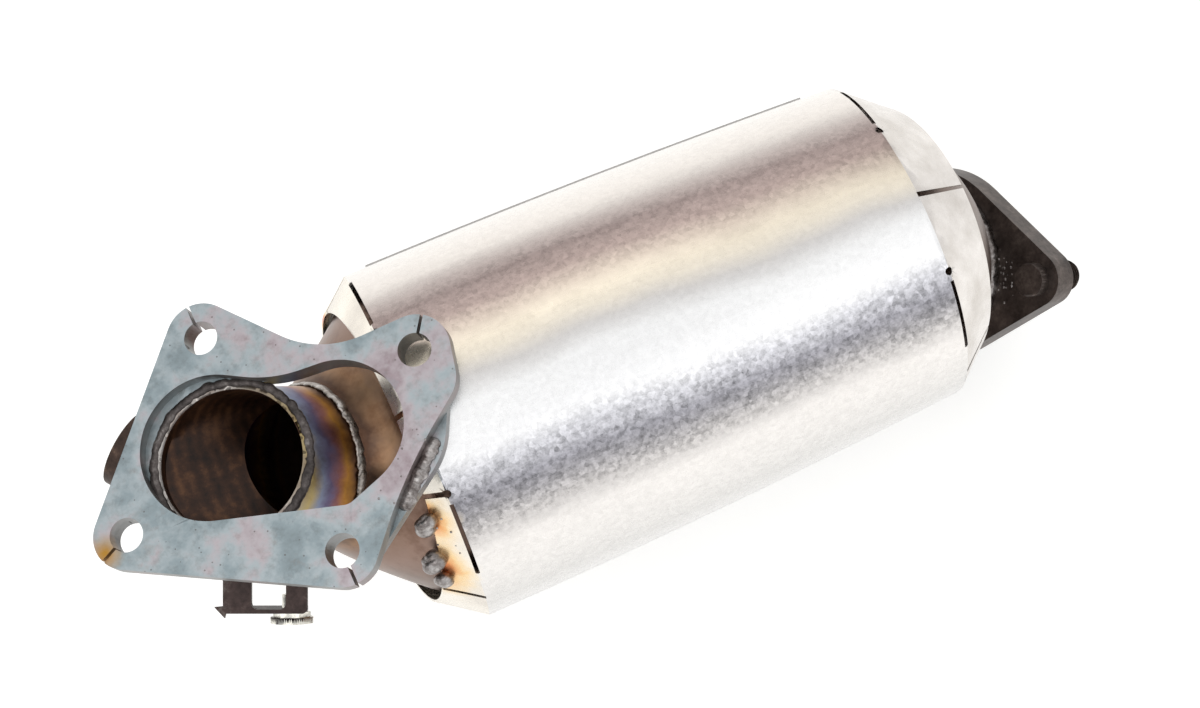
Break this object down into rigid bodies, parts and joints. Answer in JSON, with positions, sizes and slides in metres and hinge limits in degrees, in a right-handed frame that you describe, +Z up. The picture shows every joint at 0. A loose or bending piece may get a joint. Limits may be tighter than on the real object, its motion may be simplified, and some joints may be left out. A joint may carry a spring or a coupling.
{
  "type": "catalytic converter",
  "caption": "Shielded catalytic converter with an angled elbow inlet on a wide bolted flange, and an angled outlet with a smaller studded flange.",
  "frame": {"origin": "centre of the inlet flange's bolt holes, on its gasket face", "axes": "+X along the can's axis towards the outlet, +Z up; the gasket face leans back 11 degrees about Y"},
  "size_m": [0.3376, 0.1205, 0.1604],
  "materials": {
    "zinc_plate": "zinc-plated steel plate, cut edges",
    "tinted_steel": "stainless tube and pressings, heat-tinted brown",
    "weld_metal": "as-welded beads",
    "scaled_steel": "heat-scaled dark steel",
    "aluminised_sheet": "bright aluminised sheet, fine spangle",
    "fibre_mat": "pale mineral fibre",
    "ceramic_brick": "washcoated ceramic honeycomb, shown solid"
  },
  "bodies": {
    "root": {"inlet_flange": "zinc_plate", "inlet_flange_backing": "zinc_plate", "inlet_elbow": "tinted_steel", "elbow_rim_weld": "weld_metal", "elbow_ring_weld": "weld_metal", "flange_edge_weld": "weld_metal", "sensor_bung": "scaled_steel", "mount_bracket": "scaled_steel", "bracket_screw": "zinc_plate", "bracket_nut": "zinc_plate", "inlet_cone": "tinted_steel", "inlet_shell_weld": "weld_metal", "can_shell": "tinted_steel", "support_mat": "fibre_mat", "catalyst_brick": "ceramic_brick", "insulation_blanket": "fibre_mat", "heat_shield": "aluminised_sheet", "shield_tack_weld_1": "weld_metal", "shield_tack_weld_2": "weld_metal", "shield_tack_weld_3": "weld_metal", "outlet_shell_weld": "weld_metal", "outlet_cone": "tinted_steel", "outlet_pipe": "scaled_steel", "outlet_flange_weld": "weld_metal", "outlet_flange": "scaled_steel", "outlet_stud_upper": "scaled_steel", "outlet_stud_lower": "scaled_steel"}
  },
  "joints": []
}
